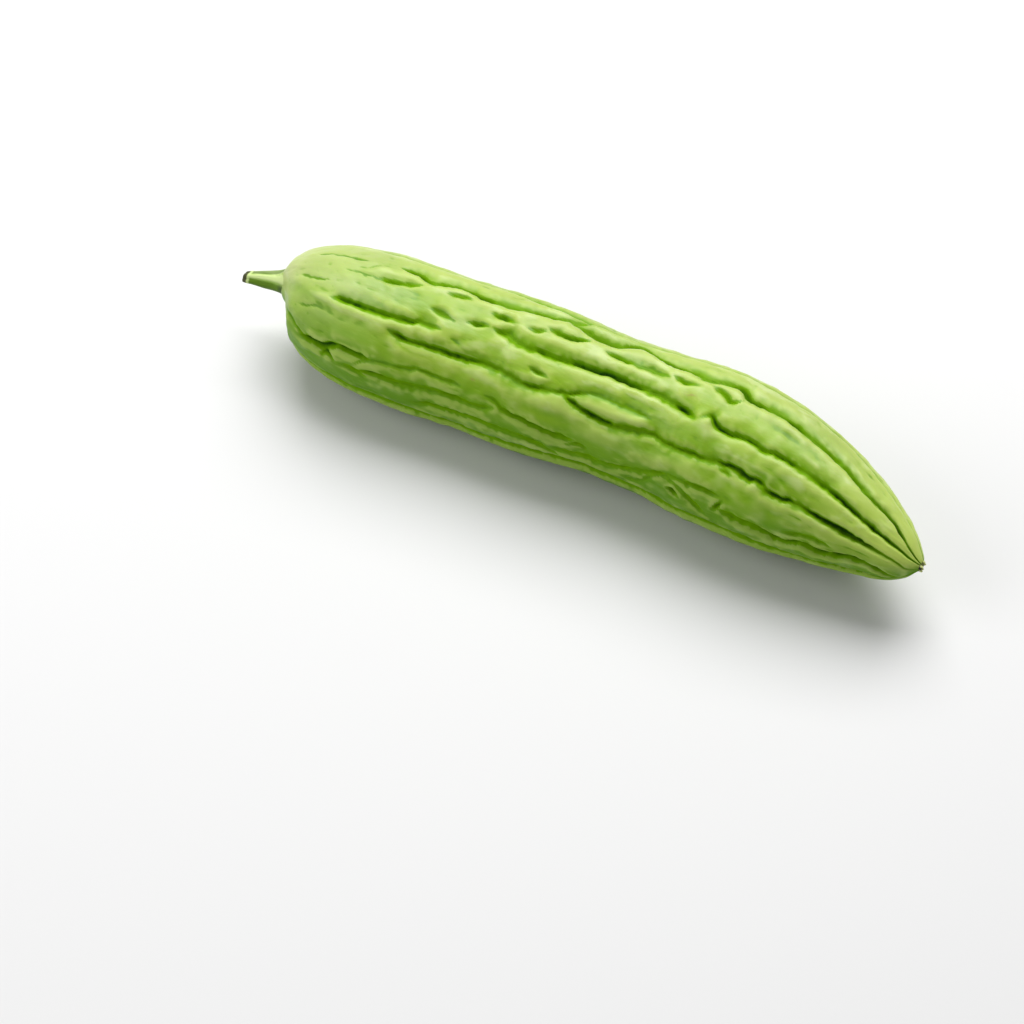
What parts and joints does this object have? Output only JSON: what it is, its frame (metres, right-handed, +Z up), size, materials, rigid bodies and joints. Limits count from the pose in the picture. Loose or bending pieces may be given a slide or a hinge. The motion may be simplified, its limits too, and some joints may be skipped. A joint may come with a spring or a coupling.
{
  "type": "bitter gourd",
  "caption": "Long, spindle-shaped bitter gourd with wavering rounded ridges, a short cut stalk and a pointed blossom tip, lying on its belly.",
  "frame": {"origin": "under the middle of the whole gourd, on the surface it lies on", "axes": "+X along the fruit from the stalk to the blossom tip; +Y sideways, the way the fruit bows; +Z up"},
  "size_m": [0.2736, 0.0626, 0.0529],
  "materials": {
    "fruit_skin": "waxy satin green skin, paler on the ridges and dark green in the furrows",
    "stalk": "matt grey-green ribbed stalk with a dried cut end",
    "dried_flower": "matt dark brown dried remnant"
  },
  "bodies": {
    "root": {"fruit_body": "fruit_skin", "stem": "stalk", "blossom_scar": "dried_flower"}
  },
  "joints": []
}
